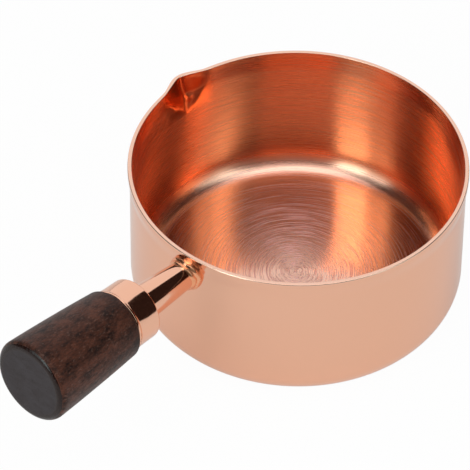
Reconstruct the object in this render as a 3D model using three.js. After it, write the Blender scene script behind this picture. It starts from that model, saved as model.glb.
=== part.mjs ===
// Small copper-plated saucepan with a pressed pour lip and a turned wooden handle.
// Millimetres, +Z up. The origin is the centre of the flat base, on the table,
// and +X runs out under the handle.

import * as THREE from 'three';

const { degToRad, smoothstep, lerp, clamp, euclideanModulo } = THREE.MathUtils;

// Pan, drawn from one disc of sheet
const RIM_DIAMETER = 100;
const PAN_HEIGHT = 47;
const SHEET = 1.2;
const FLOOR_FILLET = 6.3;
const RIM_FLARE = 0.4;
const FLARE_HEIGHT = 4.5;
const RIM_LAND = 0.8;
const RIM_OUTER_ROUNDING = 0.3;
const RIM_INNER_ROUNDING = 0.15;

// Pour lip, pressed out of the rim to one side of the handle. Bend and crease are the roundness of
// its fold outside and inside, and blend is how softly its sides run into the wall, all from 0, sharp.
const LIP_AZIMUTH = -96;
const LIP_REACH = 2.3;
const LIP_DEPTH = 12.5;
const LIP_HALF_WIDTH = 8.2;
const LIP_TOE = 0.9;
const LIP_BEND = 0.5;
const LIP_CREASE = 0.14;
const LIP_BLEND = 0.3;

// Handle axis: where it meets the wall, and how far it rises outwards
const HANDLE_DROP = 7.2;
const HANDLE_TILT = 6.5;

// Stem, turned to a taper
const STEM_LENGTH = 20.9;
const STEM_ROOT_DIAMETER = 8.4;
const STEM_END_DIAMETER = 10.7;
const STEM_END_CHAMFER = 0.3;

// Weld between the stem and the wall: beads laid side by side round the stem
const WELD_FOOT = 1.2;
const WELD_REACH = 3.3;
const WELD_BEADS = 2;
const WELD_BEAD_HEIGHT = 0.35;
const WELD_WANDER = 0.35;
const WELD_WAVES = 3;
const WELD_LUMPS = 9;
const WELD_LUMP_SHARE = 0.25;

// Ferrule, a pressed cup that caps the grip and widens a little towards the wood
const FERRULE_LENGTH = 8.9;
const FERRULE_FRONT_DIAMETER = 18.5;
const FERRULE_TAPER = 0.2;
const FERRULE_SHEET = 0.9;
const FERRULE_FRONT_ROUNDING = 0.6;
const FERRULE_MOUTH_ROUNDING = 0.25;

// Grip, turned in wood
const GRIP_LENGTH = 33.2;
const GRIP_FRONT_DIAMETER = 20.9;
const GRIP_END_DIAMETER = 24.4;
const GRIP_BELLY = 0.15;
const GRIP_FRONT_ROUNDING = 0.9;
const GRIP_END_ROUNDING = 2;

// Threaded stud and the insert that it screws into
const STUD_DIAMETER = 5;
const STUD_IN_STEM = 10;
const STUD_PAST_INSERT = 2;
const STUD_CHAMFER = 0.5;
const INSERT_WALL = 0.95;
const INSERT_LENGTH = 12;

// Clearance between pieces that seat on or inside one another
const SEAT_GAP = 0.3;

// Fineness of the facets
const PAN_COLUMNS = 96;
const LIP_CROWDING = 0.75;
const LIP_ROWS = 6;
const FLARE_ROWS = 3;
const FILLET_STEPS = 6;
const EDGE_STEPS = 2;
const TURNED_COLUMNS = 44;
const ROUNDING_STEPS = 4;
const WELD_STEPS = 12;

// Places that follow from the sizes above
const RIM_RADIUS = RIM_DIAMETER / 2;
const WALL_RADIUS = RIM_RADIUS - RIM_FLARE;
const FLARE_TOP = PAN_HEIGHT - RIM_LAND;
const FLARE_START = FLARE_TOP - FLARE_HEIGHT;
const LIP_ANGLE = degToRad(LIP_AZIMUTH);
const LIP_START = PAN_HEIGHT - LIP_DEPTH;
const TILT = degToRad(HANDLE_TILT);
const AXIS_HEIGHT = PAN_HEIGHT - HANDLE_DROP;
const STEM_ROOT_RADIUS = STEM_ROOT_DIAMETER / 2;
const STEM_END_RADIUS = STEM_END_DIAMETER / 2;
const STUD_RADIUS = STUD_DIAMETER / 2;
const STUD_BORE_RADIUS = STUD_RADIUS + SEAT_GAP;
const INSERT_RADIUS = STUD_BORE_RADIUS + INSERT_WALL;
const FERRULE_START = STEM_LENGTH + SEAT_GAP;
const FERRULE_END = FERRULE_START + FERRULE_LENGTH;
const FERRULE_FRONT_RADIUS = FERRULE_FRONT_DIAMETER / 2;
const FERRULE_MOUTH_RADIUS = (FERRULE_FRONT_DIAMETER + FERRULE_TAPER) / 2;
const SPIGOT_START = FERRULE_START + FERRULE_SHEET + SEAT_GAP;
const SHOULDER = FERRULE_END + SEAT_GAP;
const INSERT_END = SPIGOT_START + INSERT_LENGTH;
const STUD_END = INSERT_END + STUD_PAST_INSERT;

const polishedCopper = new THREE.MeshStandardMaterial({ color: 0xe0aa90, roughness: 0.12, metalness: 1 });
const brushedCopper = new THREE.MeshStandardMaterial({ color: 0xd9936f, roughness: 0.3, metalness: 1 });
const weldCopper = new THREE.MeshStandardMaterial({ color: 0xc98a6c, roughness: 0.35, metalness: 1 });
const walnut = new THREE.MeshStandardMaterial({ color: 0x4e2f24, roughness: 0.5, metalness: 0 });
const zincSteel = new THREE.MeshStandardMaterial({ color: 0xb5b8ba, roughness: 0.4, metalness: 1 });
const brass = new THREE.MeshStandardMaterial({ color: 0xb98f45, roughness: 0.35, metalness: 1 });

function vec(radius, along) {
  return new THREE.Vector2(radius, along);
}

// Points of a round stretch of a profile, from one angle to another in degrees
function rounding(centreRadius, centreAlong, radius, from, to, steps) {
  const clockwise = to < from;
  const curve = new THREE.EllipseCurve(
    centreRadius, centreAlong, radius, radius, degToRad(from), degToRad(to), clockwise,
  );
  return curve.getPoints(steps);
}

// Outer radius of the pan at a height: a straight wall that flares out under the rim
function outsideRadius(height) {
  return WALL_RADIUS + RIM_FLARE * smoothstep(height, FLARE_START, FLARE_TOP);
}

// Heights of the rows of points up the wall, closer together where the lip is pressed
function wallHeights() {
  const heights = [];
  for (let row = 0; row < LIP_ROWS; row += 1) {
    heights.push(lerp(LIP_START, FLARE_START, row / LIP_ROWS));
  }
  for (let row = 0; row <= FLARE_ROWS; row += 1) {
    heights.push(lerp(FLARE_START, FLARE_TOP, row / FLARE_ROWS));
  }
  return heights;
}

// Section of the pan from the middle of the base, up the outside, over the rim and down the inside
function panProfile() {
  const heights = wallHeights();
  const corner = FLOOR_FILLET + SHEET;
  const filletCentre = WALL_RADIUS - corner;
  const outer = RIM_OUTER_ROUNDING;
  const inner = RIM_INNER_ROUNDING;
  const rimInside = RIM_RADIUS - SHEET;
  return [
    vec(0, 0),
    ...rounding(filletCentre, corner, corner, -90, 0, FILLET_STEPS),
    ...heights.map((height) => vec(outsideRadius(height), height)),
    ...rounding(RIM_RADIUS - outer, PAN_HEIGHT - outer, outer, 0, 90, EDGE_STEPS),
    ...rounding(rimInside + inner, PAN_HEIGHT - inner, inner, 90, 180, 1),
    ...heights.reverse().map((height) => vec(outsideRadius(height) - SHEET, height)),
    ...rounding(filletCentre, corner, FLOOR_FILLET, 0, -90, FILLET_STEPS),
    vec(0, SHEET),
  ];
}

// How far the sheet is pressed out at an angle from the middle of the lip and at a height.
// Two sides meet in a fold that runs straight down to the foot, in an outline like an upright
// parabola. The depth into the sheet, from 0 outside to 1 inside, takes the fold from a round
// bend to a crease.
function pourLip(angle, height, depth) {
  const rise = clamp((height - LIP_START) / LIP_DEPTH, 0, 1);
  const halfWidth = lerp(LIP_TOE, LIP_HALF_WIDTH, Math.sqrt(rise));
  const across = Math.abs(angle) * RIM_RADIUS / halfWidth;
  const bend = lerp(LIP_BEND, LIP_CREASE, depth);
  const side = (1 - Math.hypot(across, bend)) / (1 - bend);
  return LIP_REACH * rise * (side + Math.hypot(side, LIP_BLEND)) / 2;
}

// The drawn pan: a turned shell whose columns crowd towards the lip, with the lip pressed out.
// A turned shell's columns are counted from -Y, so this seam lies opposite to the lip.
function panBody() {
  const seam = LIP_ANGLE + Math.PI / 2 + Math.PI;
  const geometry = new THREE.LatheGeometry(panProfile(), PAN_COLUMNS, seam);
  geometry.rotateX(Math.PI / 2);
  const position = geometry.attributes.position;
  const point = new THREE.Vector3();
  for (let index = 0; index < position.count; index += 1) {
    point.fromBufferAttribute(position, index);
    const azimuth = Math.atan2(point.y, point.x);
    const even = euclideanModulo(azimuth - LIP_ANGLE + Math.PI, Math.PI * 2) - Math.PI;
    const angle = even - LIP_CROWDING * Math.sin(even);
    const radius = Math.hypot(point.x, point.y);
    const depth = clamp((outsideRadius(point.z) - radius) / SHEET, 0, 1);
    const pressed = radius + pourLip(angle, point.z, depth);
    const turned = LIP_ANGLE + angle;
    position.setXY(index, pressed * Math.cos(turned), pressed * Math.sin(turned));
  }
  geometry.computeVertexNormals();
  return geometry;
}

// A solid of revolution about the handle axis, which is X in the handle's own frame
function turnedOnHandle(profile, columns) {
  const geometry = new THREE.LatheGeometry(profile, columns);
  geometry.rotateZ(-Math.PI / 2);
  return geometry;
}

// Distance along the handle axis from the flat plane at the root to the pan's curved wall
function wallOffset(across, up) {
  const radius = outsideRadius(AXIS_HEIGHT + up * Math.cos(TILT));
  const outward = Math.sqrt(radius ** 2 - across ** 2) - WALL_RADIUS;
  return (outward + up * Math.sin(TILT)) / Math.cos(TILT);
}

// Moves the points nearer to the root than a reach along the axis until they follow the wall
function fitToWall(geometry, reach) {
  const position = geometry.attributes.position;
  for (let index = 0; index < position.count; index += 1) {
    const along = position.getX(index);
    if (along < reach) {
      position.setX(index, along + wallOffset(position.getY(index), position.getZ(index)));
    }
  }
  geometry.computeVertexNormals();
  return geometry;
}

function stemRadius(along) {
  return lerp(STEM_ROOT_RADIUS, STEM_END_RADIUS, along / STEM_LENGTH);
}

// Tapered stem, cut to the wall at its root and tapped for the stud at its outer end
function handleStem() {
  const tappedEnd = STEM_LENGTH - STUD_IN_STEM - SEAT_GAP;
  const profile = [
    vec(0, SEAT_GAP),
    vec(STEM_ROOT_RADIUS, SEAT_GAP),
    vec(stemRadius(STEM_LENGTH - STEM_END_CHAMFER), STEM_LENGTH - STEM_END_CHAMFER),
    vec(STEM_END_RADIUS - STEM_END_CHAMFER, STEM_LENGTH),
    vec(STUD_BORE_RADIUS, STEM_LENGTH),
    vec(STUD_BORE_RADIUS, tappedEnd),
    vec(0, tappedEnd),
  ];
  const rootOnly = SEAT_GAP * 2;
  return fitToWall(turnedOnHandle(profile, TURNED_COLUMNS), rootOnly);
}

// How far a bead of the weld stands up at an angle round the stem and at a share of the way from
// the wall to the end of the weld. The beads wander a little and swell in lumps.
function weldBead(angle, share) {
  const wander = WELD_WANDER * Math.sin(WELD_WAVES * angle);
  const lumps = 1 + WELD_LUMP_SHARE * Math.sin(WELD_LUMPS * angle);
  const strand = Math.abs(Math.sin(Math.PI * WELD_BEADS * share + wander));
  return WELD_BEAD_HEIGHT * lumps * strand * Math.sqrt(Math.sin(Math.PI * share));
}

// Beaded weld in the corner between the stem and the wall
function stemWeld() {
  const corner = vec(STEM_ROOT_RADIUS + SEAT_GAP, SEAT_GAP);
  const profile = [corner];
  for (let step = 0; step <= WELD_STEPS; step += 1) {
    const share = step / WELD_STEPS;
    const along = SEAT_GAP + WELD_REACH * share;
    profile.push(vec(stemRadius(along) + SEAT_GAP + WELD_FOOT * (1 - share), along));
  }
  profile.push(corner);
  const geometry = turnedOnHandle(profile, TURNED_COLUMNS);
  const position = geometry.attributes.position;
  for (let index = 0; index < position.count; index += 1) {
    const across = position.getY(index);
    const up = position.getZ(index);
    const share = clamp((position.getX(index) - SEAT_GAP) / WELD_REACH, 0, 1);
    const raised = weldBead(Math.atan2(up, across), share);
    const swell = 1 + raised / Math.hypot(across, up);
    position.setY(index, across * swell);
    position.setZ(index, up * swell);
  }
  return fitToWall(geometry, Infinity);
}

// Pressed cup with rounded edges at its front and at its mouth
function ferrule() {
  const front = FERRULE_FRONT_RADIUS;
  const back = FERRULE_MOUTH_RADIUS;
  const edge = FERRULE_FRONT_ROUNDING;
  const mouth = FERRULE_MOUTH_ROUNDING;
  const profile = [
    vec(STUD_BORE_RADIUS, FERRULE_START),
    ...rounding(front - edge, FERRULE_START + edge, edge, -90, 0, ROUNDING_STEPS),
    ...rounding(back - mouth, FERRULE_END - mouth, mouth, 0, 90, ROUNDING_STEPS),
    vec(back - FERRULE_SHEET, FERRULE_END),
    vec(front - FERRULE_SHEET, FERRULE_START + FERRULE_SHEET),
    vec(STUD_BORE_RADIUS, FERRULE_START + FERRULE_SHEET),
    vec(STUD_BORE_RADIUS, FERRULE_START),
  ];
  return turnedOnHandle(profile, TURNED_COLUMNS);
}

// Wooden grip: a spigot inside the ferrule, a shoulder against its mouth, a widening body with a
// slight belly and rounded edges, and a stepped blind bore for the insert and the end of the stud
function woodenGrip() {
  const spigot = FERRULE_FRONT_RADIUS - FERRULE_SHEET - SEAT_GAP;
  const front = GRIP_FRONT_DIAMETER / 2;
  const end = GRIP_END_DIAMETER / 2;
  const gripEnd = SHOULDER + GRIP_LENGTH;
  const nose = GRIP_FRONT_ROUNDING;
  const heel = GRIP_END_ROUNDING;
  const insertBore = INSERT_RADIUS + SEAT_GAP;
  const bodyStart = vec(front, SHOULDER + nose);
  const bodyEnd = vec(end, gripEnd - heel);
  const middle = bodyStart.clone().lerp(bodyEnd, 1 / 2);
  const body = new THREE.QuadraticBezierCurve(
    bodyStart, vec(middle.x + GRIP_BELLY * 2, middle.y), bodyEnd,
  );
  const profile = [
    vec(insertBore, SPIGOT_START),
    vec(spigot, SPIGOT_START),
    vec(spigot, SHOULDER),
    ...rounding(front - nose, SHOULDER + nose, nose, -90, 0, ROUNDING_STEPS),
    ...body.getPoints(ROUNDING_STEPS).slice(1, -1),
    ...rounding(end - heel, gripEnd - heel, heel, 0, 90, ROUNDING_STEPS),
    vec(0, gripEnd),
  ];
  const bore = [
    vec(0, STUD_END + SEAT_GAP),
    vec(STUD_BORE_RADIUS, STUD_END + SEAT_GAP),
    vec(STUD_BORE_RADIUS, INSERT_END + SEAT_GAP),
    vec(insertBore, INSERT_END + SEAT_GAP),
  ];
  return turnedOnHandle([...bore, ...profile], TURNED_COLUMNS);
}

// Threaded stud that ties the stem, the ferrule and the grip together
function handleStud() {
  const start = STEM_LENGTH - STUD_IN_STEM;
  const profile = [
    vec(0, start),
    vec(STUD_RADIUS - STUD_CHAMFER, start),
    vec(STUD_RADIUS, start + STUD_CHAMFER),
    vec(STUD_RADIUS, STUD_END - STUD_CHAMFER),
    vec(STUD_RADIUS - STUD_CHAMFER, STUD_END),
    vec(0, STUD_END),
  ];
  return turnedOnHandle(profile, TURNED_COLUMNS);
}

// Threaded insert set in the wood
function gripInsert() {
  const profile = [
    vec(STUD_BORE_RADIUS, SPIGOT_START),
    vec(INSERT_RADIUS, SPIGOT_START),
    vec(INSERT_RADIUS, INSERT_END),
    vec(STUD_BORE_RADIUS, INSERT_END),
    vec(STUD_BORE_RADIUS, SPIGOT_START),
  ];
  return turnedOnHandle(profile, TURNED_COLUMNS);
}

function piece(name, geometry, material) {
  const mesh = new THREE.Mesh(geometry, material);
  mesh.name = name;
  return mesh;
}

// The handle's frame starts on the wall, with X along the handle
const handle = new THREE.Group();
handle.position.set(WALL_RADIUS, 0, AXIS_HEIGHT);
handle.rotation.y = -TILT;
handle.add(
  piece('handle_stem', handleStem(), polishedCopper),
  piece('stem_weld', stemWeld(), weldCopper),
  piece('ferrule', ferrule(), polishedCopper),
  piece('wooden_grip', woodenGrip(), walnut),
  piece('handle_stud', handleStud(), zincSteel),
  piece('grip_insert', gripInsert(), brass),
);

const saucepan = new THREE.Group();
saucepan.add(piece('pan_body', panBody(), brushedCopper), handle);

export default saucepan;
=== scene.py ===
"""A small copper saucepan with a pour lip and a wooden handle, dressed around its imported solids."""

import math

import bmesh
import bpy
from bpy.props import FloatProperty, FloatVectorProperty, PointerProperty
from mathutils import Matrix, Vector


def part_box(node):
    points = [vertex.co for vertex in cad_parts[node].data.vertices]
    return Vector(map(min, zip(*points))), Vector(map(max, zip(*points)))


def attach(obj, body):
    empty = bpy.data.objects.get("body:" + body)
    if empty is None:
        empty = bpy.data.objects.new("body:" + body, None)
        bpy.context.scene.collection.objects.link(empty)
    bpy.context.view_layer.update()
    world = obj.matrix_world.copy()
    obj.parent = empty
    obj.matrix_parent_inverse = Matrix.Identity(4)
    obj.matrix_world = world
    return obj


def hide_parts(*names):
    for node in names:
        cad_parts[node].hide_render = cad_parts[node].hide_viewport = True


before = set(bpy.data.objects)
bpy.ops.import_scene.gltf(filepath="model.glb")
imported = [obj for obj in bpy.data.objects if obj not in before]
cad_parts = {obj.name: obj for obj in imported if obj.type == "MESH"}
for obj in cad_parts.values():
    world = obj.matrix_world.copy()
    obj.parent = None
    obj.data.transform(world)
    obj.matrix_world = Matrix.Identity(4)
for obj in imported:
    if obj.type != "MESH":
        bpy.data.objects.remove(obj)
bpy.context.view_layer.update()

bl_info = {
    "name": "Copper saucepan",
    "version": (1, 0, 0),
    "blender": (4, 5, 0),
    "location": "View3D > Sidebar > Saucepan",
    "description": "Builds a copper saucepan with a pour lip and a wooden handle",
    "category": "Add Mesh",
}

PAN_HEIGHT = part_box("pan_body")[1][2]
BODY = "root"

# Fineness of the meshes
PAN_COLUMNS = 288
BASE_ROWS = 8
CORNER_ROWS = 20
WALL_ROWS = 6
LIP_ROWS = 22
FLARE_ROWS = 8
RIM_OUTER_ROWS = 8
RIM_INNER_ROWS = 6
HANDLE_COLUMNS = 128
STEM_ROWS = 24
WELD_COLUMNS = 264
WELD_ROWS = 36
FERRULE_EDGE_ROWS = 12
FERRULE_ROWS = 16
MOUTH_ROWS = 8
NOSE_ROWS = 10
GRIP_ROWS = 30
HEEL_ROWS = 16
END_ROWS = 5
CURTAIN_PANELS = 28

# How much the pan's columns crowd towards the lip, below 1
LIP_CROWDING = 0.75

# Innermost rings of the pan's and the grip's flat discs, in metres
PAN_HUB = 0.004
GRIP_HUB = 0.001

# Radius below which a point lies on the axis, and one that keeps a division off zero, in metres
ON_AXIS = 1e-9
NEAR_AXIS = 1e-6

# Length of the stem's root that is fitted to the wall, in reaches of the weld
ROOT_FIT = 1.5

# Unevenness of the weld's beads: amount, waves round the stem, and shift
DRIFT, DRIFT_WAVES, DRIFT_START = 0.35, 3.0, 1.0
JITTER, JITTER_WAVES = 0.2, 8.0
LUMPS, LUMP_WAVES, LUMP_SLANT = 0.25, 9.0, 4.0

# Brush lines: share of those that go all the way round, scales of the arcs between them, and
# the turn that lays the blur across them
RING_SHARE = 0.5
ARC_SCALE = 2.0
ARC_SPACING = 0.8
QUARTER_TURN = 0.25

# Where the lip's polish fades in: in half widths from its fold, and in metres above its foot
LIP_SIDE_EDGE = (1.3, 0.9)
LIP_FOOT_EDGE = (-0.001, 0.002)

# How much of a second tint shows in the plating, in the painted highlight on the rim, on turned metal
# and in the wood; on the cut end's edge the dark wood is painted shade
MOTTLE = 0.25
RIM_HIGHLIGHT_MOTTLE = 0.4
TOOL_MARKS = 0.3
PORE_SHADE = 0.5
EDGE_PAINTED_SHADE = 0.95

# Brightness of the darker turned metal, share of the wood's figure next to its grain, and how
# much smoother the cut end's edge is
TOOL_SHADE = 0.7
FIGURE_SHARE = 0.65
EDGE_POLISH = 0.36

# Relief of the wood, where a pore's depth is 1, and that depth in metres
GRAIN_HEIGHT = 0.6
RING_HEIGHT = 0.4
PORE_DEPTH = 0.0002

# Length of the painted shade at the ferrule, and the band of painted shade about the rim of the flat
# end, in metres
FERRULE_SHADE_LENGTH = 0.006
END_SHADE_EDGE = (-0.0007, 0.0001)


def length(name, description, default):
    """A length in metres."""
    return FloatProperty(
        name=name, description=description, default=default, precision=6,
        unit="LENGTH", subtype="DISTANCE",
    )


def turn(name, description, degrees):
    """An angle, given in degrees."""
    return FloatProperty(
        name=name, description=description, default=math.radians(degrees),
        unit="ROTATION", subtype="ANGLE",
    )


def number(name, description, default):
    """A count, a level or a scale."""
    return FloatProperty(name=name, description=description, default=default)


def factor(name, description, default):
    """A share, from none to all."""
    return FloatProperty(
        name=name, description=description, default=default, min=0.0, max=1.0, subtype="FACTOR",
    )


def colour(name, description, default):
    """A colour in linear light."""
    return FloatVectorProperty(
        name=name, description=description, default=default, size=3, min=0.0, max=1.0,
        subtype="COLOR",
    )


class PanSizes(bpy.types.PropertyGroup):
    """Sizes of the drawn pan and its pour lip"""
    rim_radius: length("Rim radius", "Outside radius of the rim", 0.0497)
    height: length("Height", "Table to the top of the rim", PAN_HEIGHT)
    sheet: length("Sheet", "Thickness of the drawn sheet", 0.0012)
    floor_fillet: length("Floor fillet", "Inside radius between the wall and the floor", 0.0070)
    flare: length("Rim flare", "How far the rim stands out from the wall", 0.0006)
    flare_height: length("Flare height", "Height over which the wall flares", 0.0055)
    draft: length("Draft", "How much wider the wall is at the table than under the rim", 0.0009)
    rim_land: length("Rim land", "Upright part of the rim above the flare", 0.0008)
    outer_rounding: length("Outer rounding", "Rounding of the rim's outer edge", 0.00025)
    inner_rounding: length("Inner rounding", "Rounding of the rim's inner edge", 0.00015)
    lip_azimuth: turn("Lip azimuth", "Direction of the pour lip from the handle", -96.0)
    lip_reach: length("Lip reach", "How far the tip stands out of the rim", 0.0026)
    lip_depth: length("Lip depth", "How far down the wall the lip is pressed", 0.0125)
    lip_half_width: length("Lip half width", "From the tip to a side's end, along the rim", 0.0082)
    lip_toe: length("Lip toe", "Half width at the foot of the lip", 0.0009)
    lip_bend: factor("Lip bend", "Roundness of the tip outside, 0 is sharp", 0.5)
    lip_crease: factor("Lip crease", "Roundness of the crease inside, 0 is sharp", 0.14)
    lip_blend: factor("Lip blend", "Softness where the sides run into the wall", 0.3)
    lip_flute: length("Lip flute", "Depth of the soft flutes beside the fold", 0.00004)
    lip_flutes: number("Lip flutes", "Flutes on each side of the fold", 1.0)
    dent_depth: length("Dent depth", "Depth of the dent at the foot of one side", 0.00022)
    dent_radius: length("Dent radius", "Radius of that dent", 0.0013)
    dent_side: length("Dent side", "From the fold to that dent, along the rim", -0.0019)
    dent_drop: length("Dent drop", "From the rim down to that dent", 0.0077)


class HandleSizes(bpy.types.PropertyGroup):
    """Sizes of the stem, the weld, the ferrule and the grip"""
    root: length("Root", "From the pan's axis to the start of the handle", 0.0496)
    drop: length("Drop", "Handle axis below the top of the rim, at the wall", 0.0072)
    tilt: turn("Tilt", "Rise of the handle", 6.5)
    stem_length: length("Stem length", "Wall to the end of the stem", 0.0209)
    stem_root: length("Stem root radius", "Radius of the stem at the wall", 0.0042)
    stem_end: length("Stem end radius", "Radius of the stem at the ferrule", 0.00535)
    stem_chamfer: length("Stem chamfer", "Chamfer at the outer end of the stem", 0.0003)
    weld_foot: length("Weld foot", "Width of the weld on the wall", 0.0012)
    weld_reach: length("Weld reach", "Width of the weld along the stem", 0.0033)
    weld_bead: length("Weld bead", "Height of one bead of the weld", 0.00035)
    weld_beads: number("Weld beads", "Beads laid side by side", 2.0)
    weld_sunk: length("Weld sunk", "How far the weld runs into the stem and the wall", 0.0002)
    ferrule_length: length("Ferrule length", "Length of the ferrule", 0.0089)
    ferrule_front: length("Ferrule front radius", "Radius at the stem", 0.00925)
    ferrule_taper: length("Ferrule taper", "Growth in radius towards the wood", 0.0001)
    ferrule_rounding: length("Ferrule rounding", "Rounding of the front edge", 0.0006)
    ferrule_sheet: length("Ferrule sheet", "Thickness of the pressed cup", 0.0009)
    ferrule_bore: length("Ferrule bore", "Radius of the hole for the stud", 0.0028)
    ferrule_hold: length("Ferrule hold", "From a rounding to the next ring on the side", 0.0001)
    ferrule_flare: length("Ferrule flare", "How far the side spreads next to the wood", 0.0003)
    mouth_rounding: length("Mouth rounding", "Rounding of the edge at the wood", 0.00025)
    mouth_groove: length("Mouth groove", "Depth of the line turned next to the mouth", 0.00007)
    mouth_lip: length("Mouth lip", "From the mouth to the turned line", 0.0006)
    grip_length: length("Grip length", "Shoulder to the free end", 0.0332)
    grip_front: length("Grip front radius", "Radius at the ferrule", 0.01045)
    grip_end: length("Grip end radius", "Radius at the free end", 0.0122)
    grip_belly: length("Grip belly", "How far the side swells in the middle", 0.00015)
    grip_nose: length("Grip nose", "Rounding at the ferrule", 0.0009)
    grip_heel: length("Grip heel", "Rounding at the free end", 0.002)
    gap: length("Seat gap", "Clearance between seated pieces", 0.0003)


class FinishColours(bpy.types.PropertyGroup):
    """Colours of the metal, the wood and the stage"""
    copper: colour("Copper", "Reflection colour of the plating", (0.93, 0.525, 0.37))
    # A paler copy of the copper, painted along the rim's edge as a painted highlight
    copper_rim_highlight: colour("Rim highlight copper", "Paler plating on the rim's edge", (0.95, 0.62, 0.485))
    copper_deep: colour("Deep copper", "Redder patches of the plating", (0.93, 0.47, 0.29))
    copper_floor: colour("Floor copper", "Reflection of the brushed floor", (0.975, 0.615, 0.485))
    # The wall's copper and its brush lines are darker, redder copies of the plating: painted shade
    # deeper in the pan
    copper_wall_shaded: colour("Wall copper", "Reflection of the brushed wall", (0.945, 0.37, 0.172))
    floor_line: colour("Floor line", "Reflection in the floor's brush lines", (0.965, 0.52, 0.49))
    wall_line_shaded: colour("Wall line", "Reflection in the wall's brush lines", (0.945, 0.325, 0.18))
    wood_dark: colour("Dark wood", "Late wood and pores", (0.014, 0.0038, 0.0022))
    wood_light: colour("Light wood", "Early wood", (0.128, 0.040, 0.023))
    # Pale specks painted on the oiled side as painted glints
    wood_glint: colour("Wood fleck", "Pale flecks between the pores", (0.22, 0.120, 0.092))
    end_grain: colour("End grain", "The grip's cut end", (0.040, 0.030, 0.033))
    steel: colour("Steel", "Plated steel of the stud", (0.62, 0.63, 0.64))
    brass: colour("Brass", "Brass of the insert", (0.72, 0.52, 0.22))
    floor: colour("Floor", "Paint of the floor", (0.98, 0.935, 0.925))
    white: colour("White", "The room, the overhead light and the floor's glow", (1.0, 1.0, 1.0))
    cloth: colour("Cloth", "Cloth of the dark curtain", (0.04, 0.018, 0.014))
    daylight: colour("Daylight", "Cool light of the side lights", (0.83, 1.0, 1.0))


class BrushSettings(bpy.types.PropertyGroup):
    """How the inside of the pan is brushed"""
    floor_roughness: factor("Floor roughness", "Roughness of the floor between its lines", 0.176)
    wall_roughness: factor("Wall roughness", "Roughness of the wall between its lines", 0.2498)
    floor_line_roughness: factor("Floor line roughness", "Roughness in the floor's lines", 0.4406)
    wall_line_roughness: factor("Wall line roughness", "Roughness in the wall's lines", 0.4277)
    corner_roughness: factor("Corner roughness", "How much rougher the rounded corner is", 0.065)
    lip_roughness: factor("Lip roughness", "Share of the roughness that the press left", 0.5)
    middle_lines: factor("Middle lines", "How much the lines show amid the floor", 0.78)
    outer_lines: factor("Outer lines", "How much the lines show on the floor's outside", 0.286)
    wall_lines: factor("Wall lines", "How much the lines show on the wall", 0.38)
    middle_radius: length("Middle radius", "Where the lines amid the floor start to fade", 0.018)
    outer_radius: length("Outer radius", "Where the lines have faded to the outer ones", 0.036)
    wall_start: length("Wall start", "Above the floor, where the wall's finish begins", 0.0003)
    wall_full: length("Wall full", "Above the floor, where the wall's finish is complete", 0.0048)
    floor_rings: number("Floor rings", "Brush lines in a metre across the floor", 3400.0)
    wall_rings: number("Wall rings", "Brush lines in a metre up the wall", 3900.0)
    groove: length("Groove", "Depth of the floor's lines", 0.00001)
    stretch: factor("Stretch", "How much further the metal blurs across its lines", 0.9111)


class StageSizes(bpy.types.PropertyGroup):
    """Camera, floor, lights and curtain"""
    camera_reach: length("Camera reach", "Camera from the pan's axis, along the floor", 0.52907)
    camera_height: length("Camera height", "Camera above the floor", 0.54675)
    camera_azimuth: turn("Camera azimuth", "Direction of the camera from the pan's axis", 38.546)
    camera_heading: turn("Camera heading", "Direction that the camera looks", -139.46)
    camera_pitch: turn("Camera pitch", "How far the camera looks down", 45.052)
    camera_lens: FloatProperty(
        name="Camera lens", description="Focal length", default=191.49, subtype="DISTANCE_CAMERA",
    )
    sensor: FloatProperty(
        name="Sensor", description="Width of the camera's sensor", default=36.0,
        subtype="DISTANCE_CAMERA",
    )
    floor_size: length("Floor size", "Side of the square floor", 6.0)
    floor_drop: length("Floor drop", "Gap that keeps the floor clear of the base", 0.0002)
    light_distance: length("Light distance", "Lights from the pan", 1.2)
    left_start: turn("Left start", "Inner edge of the left lights, from the camera's side", -30.61)
    left_end: turn("Left end", "Outer edge of the left lights", -70.36)
    left_elevation: turn("Left elevation", "Middle of the left lights above the floor", 29.73)
    left_height: length("Left height", "Upright size of the left lights", 0.8221)
    right_start: turn("Right start", "Inner edge of the right lights, likewise", 46.83)
    right_end: turn("Right end", "Outer edge of the right lights", 77.94)
    right_elevation: turn("Right elevation", "Middle of the right lights above the floor", 42.5)
    right_height: length("Right height", "Upright size of the right lights", 1.163)
    top_size: length("Top size", "Side of the overhead light", 0.7597)
    top_forward: length("Top forward", "Overhead light from the pan, towards the camera", 0.2304)
    curtain_reach: length("Curtain reach", "Dark curtain from the pan's axis", 1.8)
    curtain_top: turn("Curtain top", "Upper edge of the curtain, seen from the pan", 68.42)
    curtain_left: turn("Curtain left", "How far the curtain goes round to the left", -137.0)
    curtain_right: turn("Curtain right", "How far the curtain goes round to the right", 137.0)


class LightLevels(bpy.types.PropertyGroup):
    """How bright the lights are, where 1 is white"""
    left_inner: number("Left inner", "Left light, half next to the camera", 4.7)
    left_outer: number("Left outer", "Left light, outer half", 1.902)
    right_inner: number("Right inner", "Right light, half next to the camera", 1.7)
    right_outer: number("Right outer", "Right light, outer half", 1.159)
    top: number("Top", "Overhead light", 0.9643)
    room_seen: number("Room seen", "White room as the camera and the metal see it", 0.92)
    room_light: number("Room light", "White room as it lights other surfaces", 0.35)
    floor_seen: factor("Floor seen", "Floor's glow as the camera sees it", 0.97)
    floor_mirrored: factor("Floor mirrored", "Floor's glow as metal and glass see it", 0.24)


# Profiles and meshes

def rounding(centre, radius, start, end, steps):
    """Points of a round stretch of a profile, from one angle to another in degrees."""
    turns = [math.radians(start + (end - start) * step / steps) for step in range(steps + 1)]
    return [(centre[0] + radius * math.cos(a), centre[1] + radius * math.sin(a)) for a in turns]


def ramp(start, end, steps):
    """Evenly spaced values from start up to, and without, end."""
    return [start + (end - start) * step / steps for step in range(steps)]


def smoothstep(value, low, high):
    """0 up to the low value, 1 from the high one on, and a soft rise between them."""
    share = min(max((value - low) / (high - low), 0.0), 1.0)
    return share * share * (3.0 - 2.0 * share)


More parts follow.
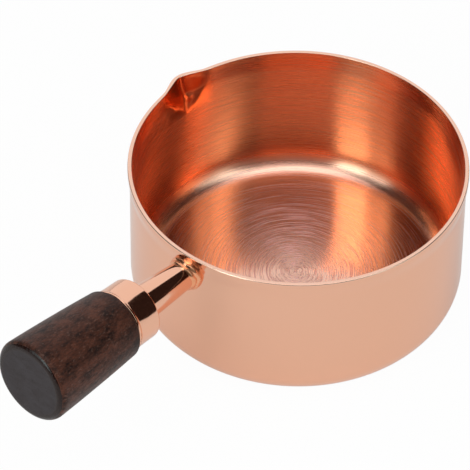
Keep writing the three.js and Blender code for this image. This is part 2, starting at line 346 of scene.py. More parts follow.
def revolve(name, profile, columns, place, closed=False, finish_of=None):
    """A mesh swept round an axis.

    For each column's angle, place gives the position of each point of the profile."""
    mesh = bmesh.new()
    rings = []
    for radius, along in profile:
        if radius < ON_AXIS:
            rings.append([mesh.verts.new(place(0.0, along, 0.0))])
        else:
            rings.append([mesh.verts.new(place(radius, along, angle)) for angle in columns])
    count = len(columns)
    pairs = list(zip(rings, rings[1:]))
    if closed:
        pairs.append((rings[-1], rings[0]))
    for row, (lower, upper) in enumerate(pairs):
        for column in range(count):
            after = (column + 1) % count
            corners = [lower[column % len(lower)], lower[after % len(lower)]]
            corners += [upper[after % len(upper)], upper[column % len(upper)]]
            face = mesh.faces.new(list(dict.fromkeys(corners)))
            face.smooth = True
            face.material_index = finish_of(row) if finish_of else 0
    data = bpy.data.meshes.new(name)
    mesh.to_mesh(data)
    mesh.free()
    piece = bpy.data.objects.new(name, data)
    bpy.context.scene.collection.objects.link(piece)
    return piece


def settle(piece, node, slot, *materials):
    """Gives a finished piece its materials and its body, and hides the solid that it stands for."""
    for material in materials:
        piece.data.materials.append(material)
    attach(piece, BODY)
    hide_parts(node)


# Pan

def outside_radius(pan, height):
    """Radius of the pan's outside at a height, without the lip."""
    top = pan.height - pan.rim_land
    flared = pan.flare * smoothstep(height, top - pan.flare_height, top)
    return pan.rim_radius - pan.flare + flared + pan.draft * (1.0 - height / pan.height)


def pour_lip(pan, angle, height, depth):
    """How far the sheet is pressed out at an angle from the lip's middle and at a height.

    Two sides meet in a fold that runs straight down to the foot, in an outline like an upright
    parabola. The depth into the sheet, from 0 outside to 1 inside, takes the fold from a round
    bend to a crease."""
    rise = min(max((height - pan.height + pan.lip_depth) / pan.lip_depth, 0.0), 1.0)
    half_width = pan.lip_toe + (pan.lip_half_width - pan.lip_toe) * math.sqrt(rise)
    across = abs(angle) * pan.rim_radius / half_width
    bend = pan.lip_bend + (pan.lip_crease - pan.lip_bend) * depth
    side = (1.0 - math.hypot(across, bend)) / (1.0 - bend)
    pressed = pan.lip_reach * rise * (side + math.hypot(side, pan.lip_blend)) / 2.0
    fluted = min(across, 1.0)
    wave = math.sin(math.pi * fluted) * math.cos(2.0 * math.pi * pan.lip_flutes * fluted)
    away = math.hypot(angle * pan.rim_radius - pan.dent_side, pan.height - pan.dent_drop - height)
    dent = pan.dent_depth * math.exp(-((away / pan.dent_radius) ** 2))
    return pressed + pan.lip_flute * math.sqrt(rise) * wave + dent


def pan_profile(pan):
    """Section from the middle of the base, over the rim, to the middle of the floor."""
    fillet = pan.floor_fillet
    corner = fillet + pan.sheet
    flat = outside_radius(pan, corner) - corner
    lip_foot = pan.height - pan.lip_depth
    flare_top = pan.height - pan.rim_land
    flare_foot = flare_top - pan.flare_height
    heights = ramp(corner, lip_foot, WALL_ROWS)[1:] + ramp(lip_foot, flare_foot, LIP_ROWS)
    heights += ramp(flare_foot, flare_top, FLARE_ROWS) + [flare_top]
    hub = ramp(PAN_HUB, flat, BASE_ROWS)
    outside = [(0.0, 0.0)] + [(radius, 0.0) for radius in hub]
    outside += rounding((flat, corner), corner, -90, 0, CORNER_ROWS)
    outside += [(outside_radius(pan, height), height) for height in heights]
    outer, inner = pan.outer_rounding, pan.inner_rounding
    rim_inside = pan.rim_radius - pan.sheet
    rim = rounding((pan.rim_radius - outer, pan.height - outer), outer, 0, 90, RIM_OUTER_ROWS)
    rim += rounding((rim_inside + inner, pan.height - inner), inner, 90, 180, RIM_INNER_ROWS)
    inside = [(outside_radius(pan, height) - pan.sheet, height) for height in reversed(heights)]
    inside += rounding((flat, corner), fillet, 0, -90, CORNER_ROWS)
    inside += [(radius, pan.sheet) for radius in reversed(hub)] + [(0.0, pan.sheet)]
    return outside, rim, inside


class SAUCEPAN_OT_pan_body(bpy.types.Operator):
    """Draw the pan: flat base, rounded corner, wall, flared rim and pour lip"""
    bl_idname = "saucepan.pan_body"
    bl_label = "Pan body"

    def execute(self, context):
        pan = context.scene.saucepan_pan
        outer, rim, inner = pan_profile(pan)

        def place(radius, height, angle):
            outside = outside_radius(pan, height)
            depth = min(max((outside - radius) / pan.sheet, 0.0), 1.0)
            pressed = radius + pour_lip(pan, angle, height, depth)
            turned = pan.lip_azimuth + angle
            return Vector((pressed * math.cos(turned), pressed * math.sin(turned), height))

        even = ramp(-math.pi, math.pi, PAN_COLUMNS)
        columns = [angle - LIP_CROWDING * math.sin(angle) for angle in even]
        rim_start = len(outer)
        rim_end = rim_start + len(rim) - 1

        def finish_of(row):
            return 0 if row < rim_start else 1 if row < rim_end else 2

        piece = revolve("saucepan_body", outer + rim + inner, columns, place, finish_of=finish_of)
        settle(
            piece, "pan_body", "copper_shell",
            polished_copper(context), rim_highlight_copper(context), brushed_copper(context),
        )
        return {"FINISHED"}


# Handle

def handle_place(handle, pan):
    """Frame of the handle: it starts on the wall, with X along the handle."""
    root = Vector((handle.root, 0.0, pan.height - handle.drop))
    return Matrix.Translation(root) @ Matrix.Rotation(-handle.tilt, 4, "Y")


def turned_on_handle(name, profile, count, context, closed=False, finish_of=None, warp=None):
    """A piece turned about the handle's axis and set in the handle's frame."""

    def place(radius, along, angle):
        point = Vector((along, radius * math.cos(angle), radius * math.sin(angle)))
        return warp(point) if warp else point

    piece = revolve(name, profile, ramp(0.0, 2.0 * math.pi, count), place, closed, finish_of)
    piece.matrix_world = handle_place(context.scene.saucepan_handle, context.scene.saucepan_pan)
    return piece


def wall_offset(handle, pan, across, up):
    """Distance along the handle's axis from the flat plane at the root to the curved wall."""
    height = pan.height - handle.drop + up * math.cos(handle.tilt)
    radius = outside_radius(pan, height)
    outward = math.sqrt(radius ** 2 - across ** 2) - handle.root
    return (outward + up * math.sin(handle.tilt)) / math.cos(handle.tilt)


def stem_radius(handle, along):
    """Radius of the tapered stem at a distance from the wall."""
    return handle.stem_root + (handle.stem_end - handle.stem_root) * along / handle.stem_length


class SAUCEPAN_OT_handle_stem(bpy.types.Operator):
    """Turn the tapered stem and cut its root to the wall"""
    bl_idname = "saucepan.handle_stem"
    bl_label = "Handle stem"

    def execute(self, context):
        handle = context.scene.saucepan_handle
        pan = context.scene.saucepan_pan
        reach = handle.stem_length
        chamfer = handle.stem_chamfer
        shoulder = reach - chamfer
        profile = [(0.0, 0.0)]
        for along in ramp(0.0, shoulder, STEM_ROWS) + [shoulder]:
            profile.append((stem_radius(handle, along), along))
        profile += [(handle.stem_end - chamfer, reach), (0.0, reach)]
        fitted = handle.weld_reach * ROOT_FIT

        def warp(point):
            fade = max(0.0, 1.0 - point.x / fitted)
            point.x += wall_offset(handle, pan, point.y, point.z) * fade
            return point

        piece = turned_on_handle("saucepan_stem", profile, HANDLE_COLUMNS, context, warp=warp)
        settle(piece, "handle_stem", "polished_copper", polished_copper(context))
        return {"FINISHED"}


class SAUCEPAN_OT_stem_weld(bpy.types.Operator):
    """Lay the beads of weld between the stem and the wall"""
    bl_idname = "saucepan.stem_weld"
    bl_label = "Stem weld"

    def execute(self, context):
        handle = context.scene.saucepan_handle
        pan = context.scene.saucepan_pan
        slope = math.hypot(handle.weld_foot, handle.weld_reach)
        sunk = handle.weld_sunk
        profile = [(handle.stem_root - sunk, -sunk)]
        for share in ramp(0.0, 1.0, WELD_ROWS) + [1.0]:
            along = handle.weld_reach * share
            foot = handle.weld_foot * (1.0 - share) - sunk * share
            profile.append((stem_radius(handle, along) + foot, along))

        def warp(point):
            radius = math.hypot(point.y, point.z)
            share = min(max(point.x / handle.weld_reach, 0.0), 1.0)
            angle = math.atan2(point.z, point.y)
            wander = DRIFT * math.sin(DRIFT_WAVES * angle + DRIFT_START)
            wander += JITTER * math.sin(JITTER_WAVES * angle)
            lumps = 1.0 + LUMPS * math.sin(LUMP_WAVES * angle + LUMP_SLANT * share)
            strand = abs(math.sin(math.pi * handle.weld_beads * share + wander))
            raised = handle.weld_bead * lumps * strand * math.sqrt(math.sin(math.pi * share))
            swell = 1.0 + raised * handle.weld_reach / slope / radius
            point.y *= swell
            point.z *= swell
            point.x += raised * handle.weld_foot / slope
            point.x += wall_offset(handle, pan, point.y, point.z)
            return point

        piece = turned_on_handle(
            "saucepan_weld", profile, WELD_COLUMNS, context, closed=True, warp=warp,
        )
        settle(piece, "stem_weld", "weld_copper", weld_copper(context))
        return {"FINISHED"}


class SAUCEPAN_OT_ferrule(bpy.types.Operator):
    """Press the ferrule with its rounded edges and the line turned at its mouth"""
    bl_idname = "saucepan.ferrule"
    bl_label = "Ferrule"

    def execute(self, context):
        handle = context.scene.saucepan_handle
        start = handle.stem_length + handle.gap
        end = start + handle.ferrule_length
        front = handle.ferrule_front
        back = front + handle.ferrule_taper + handle.ferrule_flare
        edge = handle.ferrule_rounding
        mouth = handle.mouth_rounding
        line = end - handle.mouth_lip
        groove = handle.mouth_groove
        bore = handle.ferrule_bore
        hold = handle.ferrule_hold
        profile = [(bore, start), (front - edge - hold, start)]
        profile += rounding((front - edge, start + edge), edge, -90, 0, FERRULE_EDGE_ROWS)
        side_end = line - groove - hold
        for along in ramp(start + edge + hold, side_end, FERRULE_ROWS) + [side_end]:
            share = (along - start) / handle.ferrule_length
            outer_half = max(0.0, 2.0 * share - 1.0)
            flared = handle.ferrule_flare * outer_half ** 2
            profile.append((front + handle.ferrule_taper * share + flared, along))
        profile += [(back, line - groove), (back - groove, line), (back, line + groove)]
        profile += [(back, line + groove + hold)]
        profile += rounding((back - mouth, end - mouth), mouth, 0, 90, MOUTH_ROWS)
        inside = front - handle.ferrule_sheet
        profile += [(back - handle.ferrule_sheet, end), (inside, start + handle.ferrule_sheet)]
        profile += [(bore, start + handle.ferrule_sheet)]
        piece = turned_on_handle("saucepan_ferrule", profile, HANDLE_COLUMNS, context, closed=True)
        settle(piece, "ferrule", "polished_copper", polished_copper(context))
        return {"FINISHED"}


class SAUCEPAN_OT_wooden_grip(bpy.types.Operator):
    """Turn the wooden grip with its rounded ends"""
    bl_idname = "saucepan.wooden_grip"
    bl_label = "Wooden grip"

    def execute(self, context):
        handle = context.scene.saucepan_handle
        ferrule_start = handle.stem_length + handle.gap
        shoulder = ferrule_start + handle.ferrule_length + handle.gap
        end = shoulder + handle.grip_length
        front, back = handle.grip_front, handle.grip_end
        nose, heel = handle.grip_nose, handle.grip_heel
        spigot = handle.ferrule_front - handle.ferrule_sheet - handle.gap
        spigot_start = ferrule_start + handle.ferrule_sheet + handle.gap
        profile = [(0.0, spigot_start), (spigot, spigot_start), (spigot, shoulder)]
        profile += rounding((front - nose, shoulder + nose), nose, -90, 0, NOSE_ROWS)
        side_start, side_end = shoulder + nose, end - heel
        for along in ramp(side_start, side_end, GRIP_ROWS)[1:]:
            share = (along - side_start) / (side_end - side_start)
            belly = handle.grip_belly * 4.0 * share * (1.0 - share)
            profile.append((front + (back - front) * share + belly, along))
        end_row = len(profile) + HEEL_ROWS // 2
        profile += rounding((back - heel, end - heel), heel, 0, 90, HEEL_ROWS)
        profile += [(radius, end) for radius in reversed(ramp(GRIP_HUB, back - heel, END_ROWS))]
        profile += [(0.0, end)]
        piece = turned_on_handle(
            "saucepan_grip", profile, HANDLE_COLUMNS, context,
            finish_of=lambda row: 1 if row >= end_row else 0,
        )
        settle(
            piece, "wooden_grip", "dark_wood",
            dark_wood(context, shoulder), end_grain(context, back - heel),
        )
        return {"FINISHED"}


class SAUCEPAN_OT_fasteners(bpy.types.Operator):
    """Finish the stud and the insert inside the handle"""
    bl_idname = "saucepan.fasteners"
    bl_label = "Stud and insert"

    def execute(self, context):
        colours = context.scene.saucepan_colours
        for node, paint in (("handle_stud", colours.steel), ("grip_insert", colours.brass)):
            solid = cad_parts[node]
            solid.data.materials.clear()
            solid.data.materials.append(turned_metal(node, paint))
        return {"FINISHED"}


# Shader maths

class Wire:
    """A shader socket that Python's operators combine through Math nodes."""

    def __init__(self, finish, socket):
        self.finish = finish
        self.socket = socket

    def maths(self, operation, first, second):
        return self.finish.node("ShaderNodeMath", {"operation": operation}, {0: first, 1: second})

    def __add__(self, other):
        return self.maths("ADD", self, other)

    def __radd__(self, other):
        return self.maths("ADD", other, self)

    def __sub__(self, other):
        return self.maths("SUBTRACT", self, other)

    def __rsub__(self, other):
        return self.maths("SUBTRACT", other, self)

    def __mul__(self, other):
        return self.maths("MULTIPLY", self, other)

    def __rmul__(self, other):
        return self.maths("MULTIPLY", other, self)

    def __truediv__(self, other):
        return self.maths("DIVIDE", self, other)

    def __rtruediv__(self, other):
        return self.maths("DIVIDE", other, self)

    def __pow__(self, other):
        return self.maths("POWER", self, other)

    def __rpow__(self, other):
        return self.maths("POWER", other, self)

    def either(self, other):
        """The larger of two values."""
        return self.maths("MAXIMUM", self, other)


class Finish:
    """The node tree of a material or of the world, built node by node."""

    def __init__(self, owner):
        owner.use_nodes = True
        self.owner = owner
        self.tree = owner.node_tree
        self.tree.nodes.clear()

    @classmethod
    def named(cls, name):
        return cls(bpy.data.materials.new(name))

    def node(self, kind, settings=None, sockets=None, output=0):
        """Adds a node: its settings first, then values or links for its sockets."""
        added = self.tree.nodes.new(kind)
        for key, value in (settings or {}).items():
            setattr(added, key, value)
        for key, value in (sockets or {}).items():
            socket = added.inputs[key]
            if isinstance(value, Wire):
                self.tree.links.new(value.socket, socket)
            elif socket.type == "RGBA":
                socket.default_value = (*value, 1.0)
            else:
                socket.default_value = value
        return Wire(self, added.outputs[output]) if len(added.outputs) else None

    def mix(self, share, first, second):
        """A colour between two colours, whose sockets share their names with other kinds."""
        return self.node(
            "ShaderNodeMix", {"data_type": "RGBA"}, {0: share, 6: first, 7: second}, output=2,
        )

    def noise(self, vector, waves, detail=2.0, roughness=0.5):
        """Cloudy values about 0.5."""
        return self.node(
            "ShaderNodeTexNoise", None,
            {"Vector": vector, "Scale": waves, "Detail": detail, "Roughness": roughness},
        )

    def stretched(self, where, waves, detail=2.0, roughness=0.5):
        """Noise with its own waves to the metre along each axis."""
        vector = self.join(*(part * count for part, count in zip(where, waves)))
        return self.noise(vector, 1.0, detail, roughness)

    def place(self):
        """Position on the piece, in metres."""
        return self.node("ShaderNodeTexCoord", output="Object")

    def split(self, vector):
        """The three parts of a vector."""
        parts = self.node("ShaderNodeSeparateXYZ", None, {"Vector": vector}).socket.node.outputs
        return [Wire(self, parts[axis]) for axis in "XYZ"]

    def join(self, x, y, z):
        """A vector from its three parts."""
        return self.node("ShaderNodeCombineXYZ", None, {"X": x, "Y": y, "Z": z})

    def fade(self, value, edge, start=0.0, end=1.0):
        """Goes from start to end while the value passes from one side of an edge to the other."""
        return self.node(
            "ShaderNodeMapRange", None,
            {
                "Value": value, "From Min": edge[0], "From Max": edge[1],
                "To Min": start, "To Max": end,
            },
        )

    def bump(self, height, strength, distance):
        """A normal that follows a height."""
        return self.node(
            "ShaderNodeBump", None, {"Height": height, "Strength": strength, "Distance": distance},
        )

    def rays(self):
        """1 where the camera, a mirror or clear glass looks, one value for each."""
        kinds = self.node("ShaderNodeLightPath").socket.node.outputs
        names = ("Is Camera Ray", "Is Glossy Ray", "Is Transmission Ray")
        return [Wire(self, kinds[name]) for name in names]

    def shader(self, **sockets):
        """One surface: keyword names are the shader's socket names with _ for spaces."""
        named = {key.replace("_", " "): value for key, value in sockets.items()}
        return self.node("ShaderNodeBsdfPrincipled", None, named)

    def blend(self, share, first, second):
        """A surface between two surfaces."""
        return self.node("ShaderNodeMixShader", None, {0: share, 1: first, 2: second})

    def done(self, shader, kind="ShaderNodeOutputMaterial"):
        """Ends the tree and gives back the material or the world."""
        self.node(kind, None, {"Surface": shader})
        return self.owner

    def surface(self, **sockets):
        """Ends the tree with one surface."""
        return self.done(self.shader(**sockets))


# Finishes

def dulled(marks, polish, added):
    """Roughness of a polish, with what its marks add to it."""
    return polish + marks * added


def polished_copper(context):
    """Bright plated copper with faint wipe marks and a slightly uneven polish."""
    made = bpy.data.materials.get("polished copper")
    if made:
        return made
    colours = context.scene.saucepan_colours
    finish = Finish.named("polished copper")
    where = finish.place()
    smudge = finish.noise(where, waves=60.0, detail=4.0, roughness=0.6)
    mottle = finish.noise(where, waves=25.0)
    swell = finish.noise(where, waves=140.0, detail=1.0)
    return finish.surface(
        Base_Color=finish.mix(mottle * MOTTLE, colours.copper, colours.copper_deep),
        Metallic=1.0,
        Roughness=dulled(smudge, polish=0.06, added=0.07),
        Normal=finish.bump(swell, strength=0.02, distance=0.001),
    )


def rim_highlight_copper(context):
    """Plating on the rim's edge, painted paler as a painted highlight, and a little dull."""
    colours = context.scene.saucepan_colours
    finish = Finish.named("rim highlight copper")
    rim_patches = finish.noise(finish.place(), waves=220.0, detail=3.0)
    return finish.surface(
        # The rim is painted paler as a painted highlight, broken by patches of the plain copper
        Base_Color=finish.mix(rim_patches * RIM_HIGHLIGHT_MOTTLE, colours.copper_rim_highlight, colours.copper),
        Metallic=1.0,
        Roughness=dulled(rim_patches, polish=0.14, added=0.1),
    )


def weld_copper(context):
    """Plating over the weld: redder and less even than the polished pieces."""
    colours = context.scene.saucepan_colours
    finish = Finish.named("weld copper")
    skin = finish.noise(finish.place(), waves=700.0)
    # An uneven tone between deep copper and the wall's shaded copy, so it carries some painted shade
    return finish.surface(
        Base_Color=finish.mix(skin, colours.copper_deep, colours.copper_wall_shaded),
        Metallic=1.0,
        Roughness=dulled(skin, polish=0.2, added=0.15),
        Normal=finish.bump(skin, strength=0.15, distance=0.0002),
    )


def brush_lines(finish, cosine, sine, count):
    """Fine lines round the axis, some all the way and some in arcs, as values about 0.5."""
    rings = finish.node(
        "ShaderNodeTexNoise", {"noise_dimensions": "1D"},
        {"W": count, "Scale": 1.0, "Detail": 2.0, "Roughness": 0.6},
    )
    along = finish.join(cosine * ARC_SCALE, sine * ARC_SCALE, count * ARC_SPACING)
    arcs = finish.noise(along, waves=1.0, detail=1.0)
    return rings * RING_SHARE + arcs * (1.0 - RING_SHARE)


def pressed_lip(finish, pan, cosine, sine, height):
    """1 inside the pour lip and 0 elsewhere, with soft edges."""
    beside = cosine * math.cos(pan.lip_azimuth) + sine * math.sin(pan.lip_azimuth)
    half_turn = pan.lip_half_width / pan.rim_radius
    sides = [math.cos(share * half_turn) for share in LIP_SIDE_EDGE]
    foot = [pan.height - pan.lip_depth + above for above in LIP_FOOT_EDGE]
    return finish.fade(beside, sides) * finish.fade(height, foot)


def brushed_copper(context):
    """Plated copper brushed in circles: smooth plating and, blended into it, rougher brush lines.

    The press has left the lip smoother than the rest, and the wall takes darker, redder copies of the
    copper as painted shade."""
    colours = context.scene.saucepan_colours
    brush = context.scene.saucepan_brush
    pan = context.scene.saucepan_pan
    finish = Finish.named("brushed copper")
    x, y, height = finish.split(finish.place())
    radius = (x * x + y * y) ** 0.5 + NEAR_AXIS
    cosine, sine = x / radius, y / radius
    wall = finish.fade(height, (pan.sheet + brush.wall_start, pan.sheet + brush.wall_full))
    corner = wall * (1.0 - wall) * 4.0  # 1 half way from the floor's finish to the wall's

    def by_place(floor_value, wall_value):
        return floor_value + wall * (wall_value - floor_value)

    on_floor = brush_lines(finish, cosine, sine, radius * brush.floor_rings)
    on_wall = brush_lines(finish, cosine, sine, height * brush.wall_rings)
    bright = finish.fade(on_floor, edge=(0.50, 0.60))
    middle = (brush.middle_radius, brush.outer_radius)
    share = by_place(
        bright * finish.fade(radius, middle, brush.middle_lines, brush.outer_lines),
        finish.fade(on_wall, edge=(0.42, 0.58), end=brush.wall_lines),
    )
    in_lip = pressed_lip(finish, pan, cosine, sine, height)
    polish = 1.0 - in_lip * (1.0 - brush.lip_roughness)
    grooves = finish.bump(bright * (1.0 - wall), strength=1.0, distance=brush.groove)

    def metal(floor_colour, shaded_wall_colour, floor_roughness, wall_roughness):
        roughness = by_place(floor_roughness, wall_roughness) + corner * brush.corner_roughness
        return finish.shader(
            Base_Color=finish.mix(wall, floor_colour, shaded_wall_colour),
            Metallic=1.0,
            Roughness=roughness * polish,
            Anisotropic=brush.stretch,
            Anisotropic_Rotation=QUARTER_TURN,
            Normal=grooves,
        )

    # The floor keeps the paler copper, and the wall takes the darker, redder copies: painted shade
    plain = metal(
        colours.copper_floor, colours.copper_wall_shaded,
        brush.floor_roughness, brush.wall_roughness,
    )
    lines = metal(
        colours.floor_line, colours.wall_line_shaded,
        brush.floor_line_roughness, brush.wall_line_roughness,
    )
    return finish.done(finish.blend(share * (1.0 - in_lip), plain, lines))


def dark_wood(context, shoulder):
    """Oiled dark hardwood: fine grain along the grip, open pores, a reddish mottle and pale painted
    glints.

    It is painted darker next to the ferrule, from the shoulder on, as painted shade where the grip
    meets the ferrule."""
    colours = context.scene.saucepan_colours
    finish = Finish.named("dark wood")
    where = finish.split(finish.place())
    figure = finish.stretched(where, waves=(165.0, 330.0, 330.0), detail=5.0, roughness=0.65)
    grain = finish.stretched(where, waves=(600.0, 1700.0, 1700.0), detail=3.0, roughness=0.7)
    pores = finish.stretched(where, waves=(1400.0, 3600.0, 3600.0), detail=1.0)
    glints = finish.stretched(where, waves=(1100.0, 2300.0, 2300.0))
    pore = finish.fade(pores, edge=(0.55, 0.70))
    # Pale specks painted in as glints of the oil: painted highlights
    glint = finish.fade(glints, edge=(0.58, 0.72), end=0.4)
    # Painted shade: the wood is darker next to the ferrule
    ferrule_shade = finish.fade(where[0], edge=(shoulder, shoulder + FERRULE_SHADE_LENGTH), start=0.55, end=0.0)
    marks = figure * FIGURE_SHARE + grain * (1.0 - FIGURE_SHARE)
    share = finish.fade(marks, edge=(0.39, 0.62))
    tint = finish.mix(share, colours.wood_dark, colours.wood_light)
    tint = finish.mix(pore * PORE_SHADE, tint, colours.wood_dark)
    tint = finish.mix(glint, tint, colours.wood_glint)
    tint = finish.mix(ferrule_shade, tint, colours.wood_dark)
    return finish.surface(
        Base_Color=tint,
        Roughness=finish.fade(grain, edge=(0.3, 0.7), start=0.46, end=0.34),
        Specular_IOR_Level=0.2,
        Normal=finish.bump(grain * GRAIN_HEIGHT - pore, strength=0.35, distance=PORE_DEPTH),
    )


def end_grain(context, face_radius):
    """The grip's cut end: dark, with pores as dots.

    A shiny ring painted dark goes round the edge, where the flat face meets the side: painted shade
    that stands for a dark reflection there."""
    colours = context.scene.saucepan_colours
    finish = Finish.named("end grain")
    x, y, z = finish.split(finish.place())
    rings = finish.stretched((x, y, z), waves=(40.0, 260.0, 500.0), detail=3.0, roughness=0.6)
    pores = finish.stretched((x, y, z), waves=(900.0, 2600.0, 2600.0), detail=1.0)
    pore = finish.fade(pores, edge=(0.58, 0.70))
    radius = (y * y + z * z) ** 0.5
    # A band about the flat end's edge, painted dark: painted shade that stands for a dark reflection
    rim = finish.fade(radius, edge=[face_radius + offset for offset in END_SHADE_EDGE])
    shade = finish.fade(rings, edge=(0.35, 0.65), end=0.4)
    tint = finish.mix(shade, colours.end_grain, colours.wood_dark)
    tint = finish.mix(rim * EDGE_PAINTED_SHADE, tint, colours.wood_dark)
    return finish.surface(
        Base_Color=tint,
        Roughness=dulled(pore, polish=0.55, added=0.15) - rim * EDGE_POLISH,
        Specular_IOR_Level=0.28,
        Normal=finish.bump(rings * RING_HEIGHT - pore, strength=0.2, distance=PORE_DEPTH),
    )


def turned_metal(name, paint):
    """Plain turned metal with fine marks."""
    finish = Finish.named(name + " metal")
    marks = finish.noise(finish.place(), waves=900.0)
    darker = [TOOL_SHADE * part for part in paint]
    return finish.surface(
        Base_Color=finish.mix(marks * TOOL_MARKS, paint, darker),
        Metallic=1.0,
        Roughness=dulled(marks, polish=0.3, added=0.15),
        Normal=finish.bump(marks, strength=0.1, distance=0.0001),
    )


# Stage

def around(stage, turn_right, elevation, distance):
    """A point seen from the pan: right of the way to the camera, and above the floor."""
    azimuth = stage.camera_heading + math.pi + turn_right
    flat, high = distance * math.cos(elevation), distance * math.sin(elevation)
    return Vector((flat * math.cos(azimuth), flat * math.sin(azimuth), high))


def soft_light(context, name, place, size, strength, tint):
    """A square-cornered lamp that looks as bright as its strength and points at the pan."""
    data = bpy.data.lights.new(name, "AREA")
    data.color = tint
    data.shape = "RECTANGLE"
    data.size, data.size_y = size
    data.energy = strength * math.pi * size[0] * size[1]
    lamp = bpy.data.objects.new(name, data)
    lamp.location = place
    middle = Vector((0.0, 0.0, context.scene.saucepan_pan.height / 2.0))
    lamp.rotation_euler = (middle - place).to_track_quat("-Z", "Y").to_euler()
    context.scene.collection.objects.link(lamp)


def side_lights(context, name, start, end, elevation, height, levels):
    """Lamps side by side that share the way from one direction to another round the pan."""
    stage = context.scene.saucepan_stage
    tint = context.scene.saucepan_colours.daylight
    share = (end - start) / len(levels)
    flat = stage.light_distance * math.cos(elevation)
    width = 2.0 * flat * math.tan(abs(share) / 2.0)
    for lamp, level in enumerate(levels):
        middle = start + share * (lamp + 0.5)
        place = around(stage, middle, elevation, stage.light_distance)
        soft_light(context, name, place, (width, height), level, tint)


def lights(context):
    """Side lights in an inner and an outer half, left and right of the camera, and one overhead."""
    stage = context.scene.saucepan_stage
    level = context.scene.saucepan_light
    side_lights(
        context, "left light", stage.left_start, stage.left_end, stage.left_elevation,
        stage.left_height, (level.left_inner, level.left_outer),
    )
    side_lights(
        context, "right light", stage.right_start, stage.right_end, stage.right_elevation,
        stage.right_height, (level.right_inner, level.right_outer),
    )
    above = around(stage, 0.0, 0.0, stage.top_forward) + Vector((0.0, 0.0, stage.light_distance))
    white = context.scene.saucepan_colours.white
    soft_light(context, "top light", above, (stage.top_size, stage.top_size), level.top, white)


def studio_world(context):
    """White room, full to the camera and to mirrors and lower as a light."""
    level = context.scene.saucepan_light
    finish = Finish(bpy.data.worlds.new("studio"))
    camera, glossy, clear = finish.rays()
    seen = camera.either(glossy).either(clear)
    strength = level.room_light + seen * (level.room_seen - level.room_light)
    white = context.scene.saucepan_colours.white
    room = finish.node("ShaderNodeBackground", None, {"Color": white, "Strength": strength})
    context.scene.world = finish.done(room, "ShaderNodeOutputWorld")


def dark_curtain(context):
    """A dark brown curtain round the camera's side of the room, seen only in the metal."""
    stage = context.scene.saucepan_stage
    data = bpy.data.meshes.new("dark curtain")
    turns = ramp(stage.curtain_left, stage.curtain_right, CURTAIN_PANELS) + [stage.curtain_right]
    height = stage.curtain_reach * math.tan(stage.curtain_top)
    foot = [around(stage, turn_right, 0.0, stage.curtain_reach) for turn_right in turns]
    head = [point + Vector((0.0, 0.0, height)) for point in foot]
    count = len(foot)
    quads = [(at, at + 1, at + 1 + count, at + count) for at in range(CURTAIN_PANELS)]
    data.from_pydata(foot + head, [], quads)
    cloth = context.scene.saucepan_colours.cloth
    data.materials.append(Finish.named("dark cloth").surface(Base_Color=cloth, Roughness=1.0))
    curtain = bpy.data.objects.new("dark curtain", data)
    context.scene.collection.objects.link(curtain)
    curtain.visible_camera = False
    curtain.visible_diffuse = False
    curtain.visible_shadow = False


def floor_paint(context):
    """White floor: a plain glow to the camera that lets a little of the pan's shadow through."""
    colours = context.scene.saucepan_colours
    level = context.scene.saucepan_light
    finish = Finish.named("floor paint")
    paint = finish.node("ShaderNodeBsdfDiffuse", None, {"Color": colours.floor})
    glow = finish.node("ShaderNodeEmission", None, {"Color": colours.white, "Strength": 1.0})
    camera, glossy, clear = finish.rays()
    share = camera * level.floor_seen + (glossy + clear) * level.floor_mirrored
    return finish.done(finish.blend(share, paint, glow))


def white_floor(context):
    """A wide flat floor just under the pan."""
    stage = context.scene.saucepan_stage
    half, low = stage.floor_size / 2.0, -stage.floor_drop
    data = bpy.data.meshes.new("floor")
    corners = [(-half, -half, low), (half, -half, low), (half, half, low), (-half, half, low)]
    data.from_pydata(corners, [], [(0, 1, 2, 3)])
    data.materials.append(floor_paint(context))
    floor = bpy.data.objects.new("floor", data)
    context.scene.collection.objects.link(floor)


def camera_view(context):
    """The camera at the photograph's viewing angle."""
    stage = context.scene.saucepan_stage
    data = bpy.data.cameras.new("camera")
    data.lens = stage.camera_lens
    data.sensor_width = stage.sensor
    camera = bpy.data.objects.new("camera", data)
    context.scene.collection.objects.link(camera)
    azimuth, reach = stage.camera_azimuth, stage.camera_reach
    camera.location = (reach * math.cos(azimuth), reach * math.sin(azimuth), stage.camera_height)
    upright = math.pi / 2.0
    camera.rotation_euler = (upright - stage.camera_pitch, 0.0, stage.camera_heading - upright)
    context.scene.camera = camera


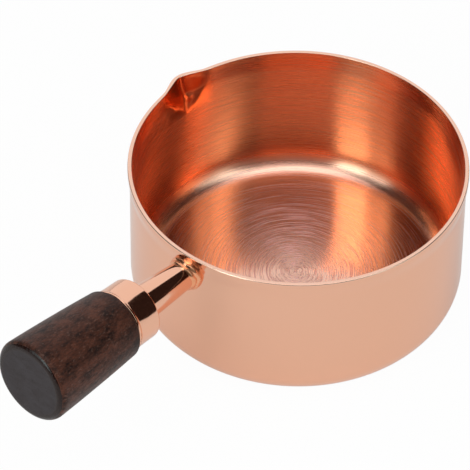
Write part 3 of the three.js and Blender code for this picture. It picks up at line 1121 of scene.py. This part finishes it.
class SAUCEPAN_OT_stage(bpy.types.Operator):
    """Set the floor, the room, the curtain, the lights and the camera"""
    bl_idname = "saucepan.stage"
    bl_label = "Stage"

    def execute(self, context):
        context.scene.view_settings.view_transform = "Standard"
        white_floor(context)
        studio_world(context)
        dark_curtain(context)
        lights(context)
        camera_view(context)
        return {"FINISHED"}


class SAUCEPAN_PT_panel(bpy.types.Panel):
    """Lists the saucepan's steps and sizes"""
    bl_idname = "SAUCEPAN_PT_panel"
    bl_label = "Saucepan"
    bl_space_type = "VIEW_3D"
    bl_region_type = "UI"
    bl_category = "Saucepan"

    def draw(self, context):
        for step in STEPS:
            self.layout.operator(step.bl_idname)
        for group in GROUPS:
            settings = getattr(context.scene, group)
            for key in settings.bl_rna.properties.keys():
                if key not in {"rna_type", "name"}:
                    self.layout.prop(settings, key)


GROUPS = {
    "saucepan_pan": PanSizes,
    "saucepan_handle": HandleSizes,
    "saucepan_colours": FinishColours,
    "saucepan_brush": BrushSettings,
    "saucepan_stage": StageSizes,
    "saucepan_light": LightLevels,
}
STEPS = (
    SAUCEPAN_OT_pan_body,
    SAUCEPAN_OT_handle_stem,
    SAUCEPAN_OT_stem_weld,
    SAUCEPAN_OT_ferrule,
    SAUCEPAN_OT_wooden_grip,
    SAUCEPAN_OT_fasteners,
    SAUCEPAN_OT_stage,
)
CLASSES = (*GROUPS.values(), *STEPS, SAUCEPAN_PT_panel)


def register():
    for kind in CLASSES:
        bpy.utils.register_class(kind)
    for key, kind in GROUPS.items():
        setattr(bpy.types.Scene, key, PointerProperty(type=kind))


def unregister():
    for key in GROUPS:
        delattr(bpy.types.Scene, key)
    for kind in reversed(CLASSES):
        bpy.utils.unregister_class(kind)


def main():
    register()
    bpy.ops.saucepan.pan_body()
    bpy.ops.saucepan.handle_stem()
    bpy.ops.saucepan.stem_weld()
    bpy.ops.saucepan.ferrule()
    bpy.ops.saucepan.wooden_grip()
    bpy.ops.saucepan.fasteners()
    bpy.ops.saucepan.stage()


if __name__ == "__main__":
    main()
